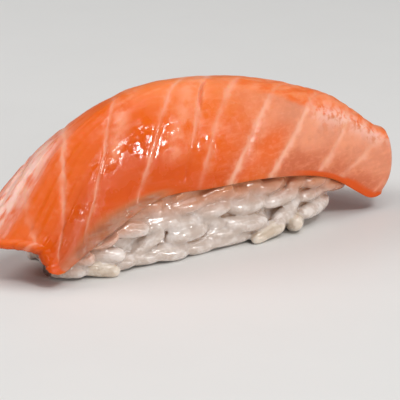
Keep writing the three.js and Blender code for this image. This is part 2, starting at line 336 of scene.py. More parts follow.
def add(tree, kind, inputs=None, **settings):
    """A shader node with its settings, and its inputs set to values or joined to sockets."""
    made = tree.nodes.new("ShaderNode" + kind)
    for name, value in settings.items():
        setattr(made, name, value)
    for key, value in (inputs or {}).items():
        if isinstance(value, bpy.types.NodeSocket):
            tree.links.new(value, made.inputs[key])
        else:
            made.inputs[key].default_value = value
    return made


def blend(tree, mask, first, second):
    """The first colour where the mask is 0 and the second where it is 1."""
    return add(tree, "Mix", {0: mask, 6: first, 7: second}, data_type="RGBA").outputs[2]


def step(tree, value, low, high, to_low=0.0, to_high=1.0):
    """A smooth step from to_low up to to_high as the value goes from low to high."""
    inputs = {"Value": value, 1: low, 2: high, 3: to_low, 4: to_high}
    return add(tree, "MapRange", inputs, interpolation_type="SMOOTHSTEP").outputs[0]


def sums(tree, kind, *values):
    """The values joined by a Math node of a kind, such as added up, or one taken from the other."""
    total = values[0]
    for value in values[1:]:
        total = add(tree, "Math", {0: total, 1: value}, operation=kind).outputs[0]
    return total


def times(tree, *values):
    """The values multiplied."""
    return sums(tree, "MULTIPLY", *values)


def read(tree, name):
    """A value that note() has left at each vertex."""
    return add(tree, "Attribute", attribute_name=name).outputs["Fac"]


def millimetres(tree):
    """The piece's own coordinates in millimetres."""
    place = add(tree, "TexCoord").outputs["Object"]
    scaled = add(tree, "VectorMath", {0: place, "Scale": 1 / MM}, operation="SCALE")
    return scaled.outputs["Vector"]


def cloud(tree, place, size, detail=2.0, stretch=(1, 1, 1)):
    """Noise from 0 to 1 with patches of a size in millimetres."""
    drawn = add(tree, "Mapping", {"Vector": place, "Scale": stretch}).outputs[0]
    inputs = {"Vector": drawn, "Scale": 1 / size, "Detail": detail}
    return add(tree, "TexNoise", inputs).outputs["Fac"]


def shifted(tree, value, noise_value, amount):
    """A value made uneven by noise from 0 to 1."""
    around = sums(tree, "SUBTRACT", noise_value, 0.5)
    return sums(tree, "ADD", value, times(tree, around, amount))


# The film of water on anything moist: fine beads and dimples, and patches that are wetter than others.
BEAD_DEPTH, WET_PATCHES, WET_FROM = 0.6, (4.0, 3.0), (0.38, 0.54)
wet_film = bpy.data.node_groups.new("wet_film", "ShaderNodeTree")
face = wet_film.interface
face.new_socket("Place", in_out="INPUT", socket_type="NodeSocketVector")
face.new_socket("Bead size", in_out="INPUT", socket_type="NodeSocketFloat")
face.new_socket("Height", in_out="OUTPUT", socket_type="NodeSocketFloat")
face.new_socket("Wetness", in_out="OUTPUT", socket_type="NodeSocketFloat")
given = wet_film.nodes.new("NodeGroupInput")
handed = wet_film.nodes.new("NodeGroupOutput")
bead_scale = sums(wet_film, "DIVIDE", 1.0, given.outputs["Bead size"])
bead_inputs = {"Vector": given.outputs["Place"], "Scale": bead_scale}
beads = add(wet_film, "TexVoronoi", bead_inputs, feature="SMOOTH_F1").outputs["Distance"]
dimples = add(wet_film, "TexNoise", {**bead_inputs, "Detail": 3.0}).outputs["Fac"]
height = sums(wet_film, "SUBTRACT", dimples, times(wet_film, beads, BEAD_DEPTH))
patches = cloud(wet_film, given.outputs["Place"], *WET_PATCHES)
wet_film.links.new(height, handed.inputs["Height"])
wet_film.links.new(step(wet_film, patches, *WET_FROM), handed.inputs["Wetness"])


def new_material(name):
    """A material, its node tree and its shader."""
    material = bpy.data.materials.new(name)
    material.use_nodes = True
    tree = material.node_tree
    return material, tree, tree.nodes["Principled BSDF"]


# Raw salmon: pale orange on the crown and deep orange down the front, partly its own colour and partly
# painted shade, pink towards its right end, nearly white in the fat, dark orange underneath, and
# brownish and milky where it is thin.
FLESH_CROWN = (0.88, 0.22, 0.058, 1)
FLESH_FRONT = (0.80, 0.125, 0.006, 1)
FLESH_DEEP = (0.67, 0.082, 0.001, 1)
FLESH_PINK = (0.69, 0.25, 0.137, 1)
FLESH_UNDER = (0.62, 0.11, 0.025, 1)
# Painted shade: dark orange low down towards the right end and at the left front corner.
FLESH_PAINTED_SHADE = (0.42, 0.09, 0.028, 1)
FLESH_PALE = (0.92, 0.36, 0.20, 1)
FAT_WHITE = (0.90, 0.47, 0.33, 1)
FILM_BROWN = (0.56, 0.17, 0.06, 1)
FILM_MILKY = (0.66, 0.33, 0.22, 1)
# Whitish pink for the painted sheen on the left slope and for the white on the ragged line.
SHEEN_AND_RIDGE_WHITE = (0.92, 0.54, 0.44, 1)

# Patterns in the flesh, as cloud() draws them: size, detail and stretch.
MOTTLE = (6.0, 4.0, (0.6, 1, 1))
SPECKS = (0.55, 3.0, (0.6, 1, 1))
STREAKS = (1.1, 4.0, (0.22, 1, 1))
WOBBLE = (3.0, 4.0)
LINE_FRAYING = (1.6, 3.0)
LINE_FADING = (5.0, 2.0)
SLOPE_STREAKS = (0.8, 3.0, (0.25, 1, 0.25))
RIDGE_FRAYING = (1.1, 4.0)
FILM_PATCHES = (1.3, 3.0, (0.3, 1, 1))
FILM_STREAKS = (0.9, 2.0, (1, 1, 0.25))
FLESH_GRAIN = (0.45, 3.0, (0.4, 1, 1))

# How each effect sets in, as step() takes it: from, to, and the values before and after, if given.
CROWN_TO_FRONT, FRONT_TO_DEEP = (0.0, 0.45), (0.45, 0.9)
# Darker towards the left, partly the flesh's own colour and partly painted shade.
DEEPER_LEFT = (-0.6, -0.05, 0.5, 0.0)
PINK_RIGHT = (-0.04, 0.44, 0.0, 0.95)
PINK_LOW_DOWN = (0.5, 1.0, 1.0, 0.5)
PINK_IN_FIBRES = (0.0, 1.0, 1.0, 0.2)
# Where painted shade sets in, low down and towards the right end.
PAINTED_SHADE_LOW_DOWN, PAINTED_SHADE_RIGHT = (0.55, 1.0, 0.0, 0.38), (0.0, 0.35)
DEEP_IN_MOTTLE = (0.3, 0.6, 0.5, 0.9)
IN_SPECKS, SPECKS_RIGHT = (0.45, 0.70, 0.0, 0.2), (-0.4, 0.3)
IN_STREAKS, STREAKS_DOWN = (0.5, 0.75), (0.3, 0.9, 0.28, 0.08)
IN_FIBRES = (0.40, 0.58, 0.75, 0.06)
LINE_WIDTHS = (0.3, 0.7, 1.5, 0.6)
LINE_STRENGTHS = (0.32, 0.6, 0.35, 1.0)
LINES_IN_FIBRES = (0.3, 1.0, 1.0, 0.35)
HALO, HALO_STRENGTH = (0.2, 1.8, 1.0, 0.0), 0.42
CORE, CORE_STRENGTH = (0.0, 0.85, 1.0, 0.0), 0.70
IN_PALE, PALE_STRENGTH = (0.35, 0.6), 0.8
# How the painted sheen on the left slope sets in, and how much glossier the flesh is there.
IN_PAINTED_SHEEN, PAINTED_SHEEN_GLOSS = (0.26, 0.54, 0.15, 1.0), 0.5
IN_FRAYING = (0.36, 0.56, 0.0, 0.8)
BROWN_FILM, MILKY_FILM, IN_MILKY = (0.0, 0.6, 0.0, 0.85), (0.5, 1.0), (0.35, 0.6, 0.15, 1.0)
# How strong the painted shade at the left front corner is.
CORNER_SHADE_STRENGTH = 0.6
FILM_OVER_RICE, IN_FILM_STREAKS = (-0.92, -0.84), (0.3, 0.65, 0.85, 1.0)
FACING_OUT, CLEAR_FILM, THINNEST_FILM = (0.4, 0.6, 1.0, 0.0), (0.30, 1.0), 0.60
DRIER_CROWN, DRIER_RIGHT = (0.1, 0.35, 0.35, 1.0), (0.0, 0.3, 1.0, 0.35)
DRIER_CORNER = (0.25, 0.85, 1.0, 0.1)
FLESH_ROUGHNESS = (0.0, 1.0, 0.42, 0.09)
DOWN_UNEVENNESS, LENGTH_UNEVENNESS, SHEET_UNEVENNESS = 0.5, 0.35, 0.10
FLESH_BEADS, FLESH_GRAIN_DEPTH, FLESH_BUMP = 0.7, 0.6, 0.030

salmon_flesh, tree, shader = new_material("salmon_flesh")
place = millimetres(tree)
mottle = cloud(tree, place, *MOTTLE)
straight, fibrous_flesh = read(tree, "lengthwise"), read(tree, "fibrous")

# The tone of the flesh from crown to hem and from end to end. Its darkening down the front and towards
# the left is partly the flesh's own colour and partly painted shade.
down = shifted(tree, read(tree, "down"), mottle, DOWN_UNEVENNESS)
down = sums(tree, "ADD", down, step(tree, straight, *DEEPER_LEFT))
lengthwise = shifted(tree, straight, mottle, LENGTH_UNEVENNESS)
tone = blend(tree, step(tree, down, *CROWN_TO_FRONT), FLESH_CROWN, FLESH_FRONT)
tone = blend(tree, step(tree, down, *FRONT_TO_DEEP), tone, FLESH_DEEP)
pinker = times(tree, step(tree, lengthwise, *PINK_RIGHT), step(tree, down, *PINK_LOW_DOWN))
pinker = times(tree, pinker, step(tree, fibrous_flesh, *PINK_IN_FIBRES))
tone = blend(tree, pinker, tone, FLESH_PINK)
# Painted shade, darker low down towards the right end.
painted_shade = times(tree, step(tree, down, *PAINTED_SHADE_LOW_DOWN), step(tree, lengthwise, *PAINTED_SHADE_RIGHT))
tone = blend(tree, painted_shade, tone, FLESH_PAINTED_SHADE)
deep = times(tree, read(tree, "deep"), step(tree, mottle, *DEEP_IN_MOTTLE))
tone = blend(tree, deep, tone, FLESH_FRONT)

# Specks and streaks of fat in the flakes, and bare fibres above the ragged line.
specks = step(tree, cloud(tree, place, *SPECKS), *IN_SPECKS)
specks = times(tree, specks, step(tree, lengthwise, *SPECKS_RIGHT))
tone = blend(tree, specks, tone, FLESH_PALE)
streaks = cloud(tree, place, *STREAKS)
streaks_down = step(tree, sums(tree, "SUBTRACT", down, lengthwise), *STREAKS_DOWN)
tone = blend(tree, times(tree, step(tree, streaks, *IN_STREAKS), streaks_down), tone, FLESH_PALE)
fibre = times(tree, fibrous_flesh, step(tree, streaks, *IN_FIBRES))
tone = blend(tree, fibre, tone, FLESH_FRONT)

# The sheets of fat: a white core in a paler halo, wavering, frayed and faded here and there. Then the
# pale patches, the painted sheen of pale streaks on the left slope and the white on the ragged line.
wobble = cloud(tree, place, *WOBBLE)
count = shifted(tree, read(tree, "sheet_count"), wobble, SHEET_UNEVENNESS)
nearest = add(tree, "Math", {0: count}, operation="ROUND").outputs[0]
signed = times(tree, sums(tree, "SUBTRACT", count, nearest), read(tree, "sheet_pitch"))
from_line = add(tree, "Math", {0: signed}, operation="ABSOLUTE").outputs[0]
from_line = times(tree, from_line, step(tree, cloud(tree, place, *LINE_FRAYING), *LINE_WIDTHS))
strength = step(tree, cloud(tree, place, *LINE_FADING), *LINE_STRENGTHS)
in_fibres = step(tree, fibrous_flesh, *LINES_IN_FIBRES)
whiteness = times(tree, read(tree, "sheet_white"), strength, in_fibres)
halo = times(tree, step(tree, from_line, *HALO), whiteness, HALO_STRENGTH)
core = times(tree, step(tree, from_line, *CORE), whiteness, CORE_STRENGTH)
pale = times(tree, read(tree, "pale"), step(tree, wobble, *IN_PALE), PALE_STRENGTH)
painted_sheen = times(tree, read(tree, "painted_sheen"), step(tree, cloud(tree, place, *SLOPE_STREAKS), *IN_PAINTED_SHEEN))
frayed = step(tree, cloud(tree, place, *RIDGE_FRAYING), *IN_FRAYING)
tone = blend(tree, pale, tone, FLESH_PALE)
tone = blend(tree, painted_sheen, tone, SHEEN_AND_RIDGE_WHITE)
tone = blend(tree, halo, tone, FLESH_PALE)
tone = blend(tree, core, tone, FAT_WHITE)
tone = blend(tree, times(tree, read(tree, "ridge"), frayed), tone, SHEEN_AND_RIDGE_WHITE)

# The thin hem, with painted shade at the left front corner, a deep orange lip, and the face on the
# rice.
film = read(tree, "film")
milky = step(tree, cloud(tree, place, *FILM_PATCHES), *IN_MILKY)
tone = blend(tree, step(tree, film, *BROWN_FILM), tone, FILM_BROWN)
tone = blend(tree, times(tree, step(tree, film, *MILKY_FILM), milky), tone, FILM_MILKY)
tone = blend(tree, times(tree, read(tree, "painted_shade"), CORNER_SHADE_STRENGTH), tone, FLESH_PAINTED_SHADE)
tone = blend(tree, read(tree, "lip"), tone, FLESH_DEEP)
tone = blend(tree, read(tree, "underneath"), tone, FLESH_UNDER)
tree.links.new(tone, shader.inputs["Base Color"])

# Rice shows through the thin hem, and the face on the rice is clear there, so that only one is seen.
clear = step(tree, cloud(tree, place, *FILM_STREAKS), *IN_FILM_STREAKS)
clear = times(tree, film, clear, step(tree, straight, *FILM_OVER_RICE))
facing_out = step(tree, read(tree, "underneath"), *FACING_OUT)
thinnest = times(tree, facing_out, THINNEST_FILM)
see_through = add(tree, "Mix", {0: step(tree, clear, *CLEAR_FILM), 2: 1.0, 3: thinnest}).outputs[0]
tree.links.new(see_through, shader.inputs["Alpha"])

# The wet face, glossy in patches, drier on the crown, towards the right and at the left front corner.
wet = add(tree, "Group", {"Place": place, "Bead size": FLESH_BEADS}, node_tree=wet_film)
# It is glossier where the sheen on the left slope is painted.
wetness = sums(tree, "ADD", wet.outputs["Wetness"], times(tree, read(tree, "painted_sheen"), PAINTED_SHEEN_GLOSS))
wetness = times(tree, wetness, step(tree, read(tree, "down"), *DRIER_CROWN))
wetness = times(tree, wetness, step(tree, straight, *DRIER_RIGHT))
wetness = times(tree, wetness, step(tree, read(tree, "painted_shade"), *DRIER_CORNER))
tree.links.new(step(tree, wetness, *FLESH_ROUGHNESS), shader.inputs["Roughness"])
flesh_grain = times(tree, cloud(tree, place, *FLESH_GRAIN), FLESH_GRAIN_DEPTH)
bumps = sums(tree, "ADD", wet.outputs["Height"], flesh_grain)
bump = add(tree, "Bump", {"Height": bumps, "Strength": 0.5, "Distance": FLESH_BUMP * MM})
tree.links.new(bump.outputs[0], shader.inputs["Normal"])
shader.inputs["IOR"].default_value = 1.34
shader.inputs["Subsurface Weight"].default_value = 0.30
shader.inputs["Subsurface Radius"].default_value = (1.0, 0.30, 0.10)
shader.inputs["Subsurface Scale"].default_value = 2.2 * MM

# What the material reads at each vertex: how far along and down it is, what kind of flesh it is, and
# where sheen and shade are painted.
WHITE_FADE, PALE_FADE, DEEP_FADE = 0.2, 0.2, 0.3
FILM_END = (-0.42, -0.18)
CORNER_BACK, CORNER_RIGHT = (-0.95, -0.35), (-0.88, -0.6)
PAINTED_SHEEN_STRENGTH = 1.7
UNDER_FACE = (-0.98, -0.75)
FRAYED_WIDTH, FRAYED_FADE = 2.1, ((0.2, 0.5), (0.9, 1.2))
FIBROUS_FLESH = (0.0, 0.3)
LEFT_EDGE, LEFT_EDGE_BACK = (0.4, 1.4), (-0.7, -0.4)
LIP_WIDTH, LIP_RIGHT, LIP_LEFT = 0.24, (0.35, 0.55), (0.90, 0.95)
CURL_WIDTH, CURL = 0.80, ((0.72, 0.82), (0.93, 1.0))  # there the hem curls over and shows more lip

salmon = new_piece("salmon_slice", slab_vertices, np.concatenate(slab_faces), salmon_flesh)
slab_count, slab_pitch = fat_place(slab_u, slab_v)
hem_height, crown_height = along(FRONT_HEM_HEIGHT, slab_u), along(CROWN_HEIGHT, slab_u)
slab_down = (crown_height - slab_vertices[:, 2]) / (crown_height - hem_height)
note(salmon, "lengthwise", slab_u)
note(salmon, "down", slab_down)
note(salmon, "sheet_count", slab_count)
note(salmon, "sheet_pitch", slab_pitch)

sheets = np.arange(len(FAT_SHEETS))
white, white_end = (np.interp(slab_count, sheets, [sheet[i] for sheet in FAT_SHEETS]) for i in (3, 4))
white = white * (1 - smooth(slab_down, white_end - WHITE_FADE, white_end + WHITE_FADE))
note(salmon, "sheet_white", white)
pale = sum(
    strength * hump(slab_count - middle, half) * (1 - smooth(slab_down, reach - PALE_FADE, reach))
    for middle, half, reach, strength in PALE_PATCHES
)
note(salmon, "pale", pale)
deep_middle, deep_half, deep_start = DEEP_PATCH
deep = np.exp(-(((slab_count - deep_middle) / deep_half) ** 4))
note(salmon, "deep", deep * smooth(slab_down, deep_start, deep_start + DEEP_FADE))
# The painted sheen on the left slope: pale streaks that stand in for light reflected there.
from_painted_sheen = ((slab_u - PAINTED_SHEEN[0]) / PAINTED_SHEEN_SIZE[0]) ** 2 + ((slab_v - PAINTED_SHEEN[1]) / PAINTED_SHEEN_SIZE[1]) ** 2
note(salmon, "painted_sheen", np.minimum(PAINTED_SHEEN_STRENGTH * np.exp(-from_painted_sheen), 1))
slab_ridge, slab_share = beside(RIDGE, slab_u, slab_v)
note(salmon, "ridge", between(slab_share, *FRAYED_FADE) * hump(slab_ridge, FRAYED_WIDTH))
note(salmon, "fibrous", smooth(slab_u, *FIBROUS_FLESH) * smooth(slab_ridge, *ABOVE_RIDGE))

note(salmon, "underneath", 1 - smooth(slab_depth, *UNDER_FACE))
note(salmon, "film", near_hem(slab_u, slab_v, CLEAR_WIDTH) * (1 - smooth(slab_u, *FILM_END)))
# Painted shade at the left front corner.
note(salmon, "painted_shade", (1 - smooth(slab_v, *CORNER_BACK)) * (1 - smooth(slab_u, *CORNER_RIGHT)))
slab_from_hem, slab_from_left = (1 + slab_v) * FRONT_DROP, (1 + slab_u) * SLICE_REACH
left_edge = (1 - smooth(slab_from_left, *LEFT_EDGE)) * (1 - smooth(slab_v, *LEFT_EDGE_BACK))
lip_width = LIP_WIDTH + CURL_WIDTH * between(slab_u, *CURL)
lip = 1 - smooth(slab_from_hem, 0.5 * lip_width, lip_width)
lip = lip * (smooth(slab_u, *LIP_RIGHT) + smooth(-slab_u, *LIP_LEFT))
note(salmon, "lip", np.maximum(left_edge, lip))
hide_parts("salmon")
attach(salmon, "root")

# ---------------------------------------------------------------- the rice
# A heap of short-grained rice, cooked, seasoned and pressed by hand into a long mound. Whole grains of
# 7 to 8 mm lie over a pressed core, moist, milky and a little see-through. Starch glues them together,
# so they run into each other where they touch.

RICE_MIDDLE, RICE_HALF_LENGTH, RICE_HALF_WIDTH = 1.4, 27.1, 10.5
RICE_HEIGHT, RICE_CORNER = 24.0, 2.6
FOOT_INSET, FOOT_HEIGHT = 0.9, 2.5
SHOULDER_INSET, SHOULDER_START = 4.2, 9.0

# The pressed core: how far in from the outline it lies and how lumpy it is, and how far below the slice
# it ends, which is less away from the thin hem on the left.
CORE_INSET, CORE_LUMPS, CORE_FOOT = 1.7, 0.4, 0.3
CORE_BELOW_SLICE, CORE_CLOSER, CORE_CLOSER_FROM = 1.5, 0.6, (-12, -4)

# A grain, and how much grains differ.
GRAIN_LENGTH, GRAIN_WIDTH, GRAIN_FULLNESS = 7.8, 2.9, 2.6
LENGTH_CHANGE, WIDTH_CHANGE = 0.12, 0.1
FLATNESS, FLATNESS_CHANGE, TAPER = 0.92, 0.06, 0.08
BEND_CHANGE, BEND_START, BEND_DEPTH = 0.8, 0.35, 0.6

# How grains lie: in rows in an outer and an inner layer, each a little out of its place.
GRAIN_SEED = 41
GRAIN_SINK, LAYER_PITCH = 1.1, 0.65
FIRST_ROW, ROW_PITCH, ROW_STAGGER, BARE_TOP = 1.4, 2.0, 0.5, 6
OUTER_PITCH, OUTER_SPACING = 2.4, 4.1
INNER_PITCH, INNER_SPACING = 3.6, 2.4
UPRIGHT_SPACING = 0.55  # as a share of the spacing along the rows
SHIFT_ALONG, SHIFT_UP, SHIFT_OUT = 0.4, 0.6, 0.35
TURN_CHANGE, FOOT_LIFT, GRAIN_LIFT = 0.35, 0.15, 0.55
GRAIN_CLEARANCE, FREE_BELOW_HEM, MOST_ABOVE, MOST_BELOW = 0.3, 0.8, 1.5, 7
CORE_STARCH, GRAIN_STARCH = 0.6, 0.3  # how far the glue between grains spreads

# Grains that stand out at the front: x, y, z of the middle, turn and lift in degrees, length and width.
FRONT_GRAINS = [
    (-25.6, -8.9, 3.9, -35, -4, 7.0, 2.8),
    (-24.0, -9.0, 6.0, -32, 8, 7.2, 2.8),
    (-26.4, -7.6, 1.6, -40, 0, 7.0, 2.8),
    (-21.4, -9.3, 5.9, -24, 5, 7.2, 2.8),
    (-20.2, -9.3, 3.3, -28, -3, 7.2, 2.9),
    (-21.8, -9.5, 1.35, -30, -6, 7.8, 2.6),
    (-17.3, -9.2, 1.45, -10, 3, 6.0, 2.8),
    (-12.1, -9.6, 3.7, -10, 31, 6.4, 2.7),
    (-13.1, -9.3, 1.4, -10, -2, 6.8, 2.7),
    (-8.2, -10.0, 1.6, -4, -6, 7.4, 3.1),
    (-4.7, -10.0, 4.1, 0, 4, 8.0, 3.2),
    (-5.7, -9.7, 5.8, 0, -6, 7.6, 2.8),
    (-2.3, -9.9, 1.4, 0, 1, 7.0, 2.7),
    (4.0, -9.8, 1.35, 2, 1, 8.5, 2.6),
    (3.0, -9.9, 2.6, 0, -2, 8.0, 2.6),
    (6.9, -10.4, 3.6, 0, -7, 8.8, 2.9),
    (10.9, -10.9, 1.4, 6, 11, 7.2, 2.7),
    (17.6, -9.4, 1.75, 54, 0, 6.4, 3.4),
    (15.4, -9.6, 3.4, 20, 22, 6.9, 3.0),
    (22.0, -8.7, 2.9, 22, 4, 8.4, 2.9),
    (22.1, -8.3, 5.4, 24, 0, 8.0, 2.8),
    (26.3, -8.2, 6.0, 20, -8, 6.5, 2.8),
    (22.8, -8.9, 7.5, 18, -8, 7.4, 2.7),
    (7.3, -9.8, 6.4, 0, -2, 8.0, 2.9),
    (14.4, -9.6, 6.2, 4, 8, 7.6, 2.8),
    (0.7, -9.7, 6.9, 0, 5, 7.5, 2.9),
    (-15.8, -9.4, 6.6, -12, -4, 7.5, 2.8),
    (-9.7, -9.6, 6.5, -8, 9, 7.0, 2.8),
    (4.4, -9.7, 9.0, 2, -6, 7.4, 2.7),
    (-4.6, -9.7, 8.6, -4, 3, 7.2, 2.7),
    (12.0, -9.4, 8.8, 6, 4, 7.4, 2.7),
    (19.2, -8.8, 8.0, 14, -5, 7.4, 2.7),
]
YELLOW_GRAINS = [5, 16, 17]  # counted in that list from 0


def random_from(seed):
    """A repeatable random number from -1 to 1 on each call."""
    state = seed
    while True:
        state = (state * 1664525 + 1013904223) % 4294967296
        yield state / 2147483648 - 1


def side_inset(height):
    """How far in from the outline the side of the heap lies at a height."""
    foot = FOOT_INSET * (1 - smooth(height, 0, FOOT_HEIGHT))
    return foot + SHOULDER_INSET * smooth(height, SHOULDER_START, RICE_HEIGHT)


OUTLINE_STEPS, STEP_AHEAD = 1200, 0.5


def heap_side(inset, share):
    """A place a share of the way round the outline, the way ahead there, and the outline's length."""
    angle = np.linspace(0, 2 * np.pi, OUTLINE_STEPS + 1)
    reach = oblong_reach(angle, RICE_CORNER)
    x = RICE_MIDDLE + (RICE_HALF_LENGTH - inset) * reach * np.cos(angle)
    y = (RICE_HALF_WIDTH - inset) * reach * np.sin(angle)
    length = np.concatenate([[0], np.cumsum(np.hypot(np.diff(x), np.diff(y)))])
    at = (share % 1) * length[-1]
    places = (at, at + STEP_AHEAD)
    here, ahead = (np.array([np.interp(a, length, x), np.interp(a, length, y)]) for a in places)
    return here, (ahead - here) / np.hypot(*(ahead - here)), length[-1]


# The slice's lower face as places with directions down into the rice, which grains are kept clear of.
ROOF_ALONG, ROOF_ACROSS, ROOF_HEM = 120, 60, 0.97
stations = [np.linspace(-1, 1, steps + 1) for steps in (ROOF_ALONG, ROOF_ACROSS)]
roof_u, roof_v = np.meshgrid(*stations, indexing="ij")
roof = lower_face(roof_u, roof_v)
roof_inward = -surface_normals(roof).reshape(-1, 3)
roof_hem = (np.abs(roof_v) > ROOF_HEM).ravel()
roof = roof.reshape(-1, 3)


def below_slice(place, clearance):
    """The place moved in until it is clear of the slice, or None where there is no room for it."""
    nearest = np.argmin(((roof - place) ** 2).sum(1))
    depth = float((place - roof[nearest]) @ roof_inward[nearest])
    if roof_hem[nearest] and place[2] < roof[nearest, 2] - FREE_BELOW_HEM:
        return place
    if depth < -MOST_ABOVE or depth > MOST_BELOW:
        return None
    return place + roof_inward[nearest] * max(0.0, clearance - depth)


random = random_from(GRAIN_SEED)


def grain_layer(layer, pitch, spacing, laid):
    """Grains in uneven rows round the heap, each as its middle, turn, lift, length and width."""
    layer_grains = []
    for row in range(int((RICE_HEIGHT - BARE_TOP) / ROW_PITCH)):
        height = FIRST_ROW + ROW_PITCH * row
        most_lift = FOOT_LIFT if row == 0 else GRAIN_LIFT
        inset = float(side_inset(height)) + GRAIN_SINK + LAYER_PITCH * layer
        count = round(heap_side(inset, 0)[2] / pitch)
        for i in range(count):
            share = (i + ROW_STAGGER * (row % 2) + SHIFT_ALONG * next(random)) / count
            (x, y), (ahead_x, ahead_y), _ = heap_side(inset, share)
            outward = np.array([ahead_y, -ahead_x, 0])
            middle = np.array([x, y, height + SHIFT_UP * next(random)])
            middle = middle + outward * SHIFT_OUT * next(random)
            turn = math.atan2(ahead_y, ahead_x) + TURN_CHANGE * next(random)
            lift = most_lift * next(random)
            length = GRAIN_LENGTH * (1 + LENGTH_CHANGE * next(random))
            width = GRAIN_WIDTH * (1 + WIDTH_CHANGE * next(random))
            middle = below_slice(middle, 0.5 * width + GRAIN_CLEARANCE)
            if middle is None:
                continue
            room = (spacing, spacing, UPRIGHT_SPACING * spacing)
            apart = (np.reshape(laid, (-1, 3)) - middle) / room
            if (np.linalg.norm(apart, axis=1) < 1).any():
                continue
            laid.append(middle)
            layer_grains.append((middle, turn, lift, length, width))
    return layer_grains


outer_grains = [
    (np.array(grain[:3]), math.radians(grain[3]), math.radians(grain[4]), *grain[5:])
    for grain in FRONT_GRAINS
]
outer_grains += grain_layer(0, OUTER_PITCH, OUTER_SPACING, [grain[0] for grain in outer_grains])
inner_grains = grain_layer(1, INNER_PITCH, INNER_SPACING, [])

# The heap as a field on a grid: below zero inside it, above zero outside. Its core has lumps of 4 mm.
CELL = 0.29
GRID_LOW, GRID_HIGH = (-28.8, -13.2, -0.9), (31.4, 13.2, 22.0)
low = np.array(GRID_LOW)
cells = np.ceil((np.array(GRID_HIGH) - low) / CELL).astype(int)
axes = [low[i] + CELL * np.arange(cells[i]) for i in range(3)]
grid_x, grid_y, grid_z = np.meshgrid(*axes, indexing="ij")
core_reach = (
    np.abs((grid_x - RICE_MIDDLE) / (RICE_HALF_LENGTH - CORE_INSET)) ** RICE_CORNER
    + np.abs(grid_y / (RICE_HALF_WIDTH - CORE_INSET)) ** RICE_CORNER
) ** (1 / RICE_CORNER)
lumps = np.sin(grid_x * 1.3) * np.sin(grid_z * 1.7 + grid_x * 0.4) * np.sin(grid_y * 1.5 + grid_z * 0.6)
field = (core_reach - 1) * (RICE_HALF_WIDTH - CORE_INSET) + CORE_LUMPS * lumps
field = np.maximum(field, CORE_FOOT - grid_z)


def melt(first, second, spread):
    """The nearer of two shapes, run together where both are close."""
    share = np.clip(0.5 + 0.5 * (second - first) / spread, 0, 1)
    return second + (first - second) * share - spread * share * (1 - share)


owner = np.zeros(field.shape, np.int16)  # the number of the grain that each cell belongs to
GRAIN_REACH = 5.4  # from the middle of a grain, how far it is worked out


def with_grains(field, layer_grains, spread, first):
    """The field with grains added to it, which are numbered from first in owner."""
    for number, (middle, turn, lift, length, width) in enumerate(layer_grains, first):
        start = np.maximum(((middle - GRAIN_REACH - low) / CELL).astype(int), 0)
        end = ((middle + GRAIN_REACH - low) / CELL).astype(int) + 2
        box = tuple(slice(start[i], end[i]) for i in range(3))
        roll = math.pi * next(random)
        flat = FLATNESS + FLATNESS_CHANGE * next(random)
        bend = BEND_CHANGE * next(random)
        spin = Matrix.Rotation(turn, 3, "Z")
        spin = spin @ Matrix.Rotation(-lift, 3, "Y") @ Matrix.Rotation(roll, 3, "X")
        offset = np.stack([grid_x[box], grid_y[box], grid_z[box]], -1) - middle
        halves = (length / 2, width / 2, width / 2 * flat)
        x, y, z = np.moveaxis(offset @ np.array(spin) / halves, -1, 0)
        girth = np.hypot(y + bend * (x**2 - BEND_START) * BEND_DEPTH, z) / (1 + TAPER * x)
        swell = (np.abs(x) ** GRAIN_FULLNESS + girth**GRAIN_FULLNESS) ** (1 / GRAIN_FULLNESS)
        grain = (swell - 1) * width / 2
        owner[box] = np.where(grain < field[box], number, owner[box])
        field[box] = melt(grain, field[box], spread)
    return field


# The height of the slice's lower face over each cell, which caps the heap. Past the hems it is the
# hem's own. The beading is fine unevenness of about 1 mm.
COVER_ALONG, COVER_ACROSS, COVER_SLOPE = 700, 500, 0.8
GRAINS_BELOW_SLICE, BEADING = 0.25, 0.035
cover = np.full(cells[:2], np.inf)
stations = [np.linspace(-1, 1, count) for count in (COVER_ALONG, COVER_ACROSS)]
cover_u, cover_v = np.meshgrid(*stations, indexing="ij")
cover_places = lower_face(cover_u, cover_v)
cover_cell = np.round((cover_places[..., :2] - low[:2]) / CELL).astype(int).reshape(-1, 2)
held = ((cover_cell >= 0) & (cover_cell < cells[:2])).all(1)
np.minimum.at(cover, tuple(cover_cell[held].T), cover_places.reshape(-1, 3)[held, 2])
for hem in (0, -1):
    hem_x, hem_y, hem_z = cover_places[:, hem].T
    height, limit = np.interp(axes[0], hem_x, hem_z), np.interp(axes[0], hem_x, hem_y)
    outside = (axes[1] < limit[:, None]) if hem == 0 else (axes[1] > limit[:, None])
    cover = np.where(outside, np.minimum(cover, height[:, None]), cover)
above_cover = (grid_z - cover[..., None]) * COVER_SLOPE
core_gap = CORE_BELOW_SLICE * (1 - CORE_CLOSER * smooth(grid_x, *CORE_CLOSER_FROM))
field = np.maximum(field, above_cover + core_gap)
first_outer = len(inner_grains) + 1
field = with_grains(field, inner_grains, CORE_STARCH, 1)
field = with_grains(field, outer_grains, GRAIN_STARCH, first_outer)
beading = np.sin(grid_x * 6.1 + grid_z * 2.3) * np.sin(grid_z * 5.9 - grid_x * 1.9)
beading = beading + np.sin(grid_y * 6.7 + grid_x)
field = np.maximum(field + BEADING * beading, above_cover + GRAINS_BELOW_SLICE)


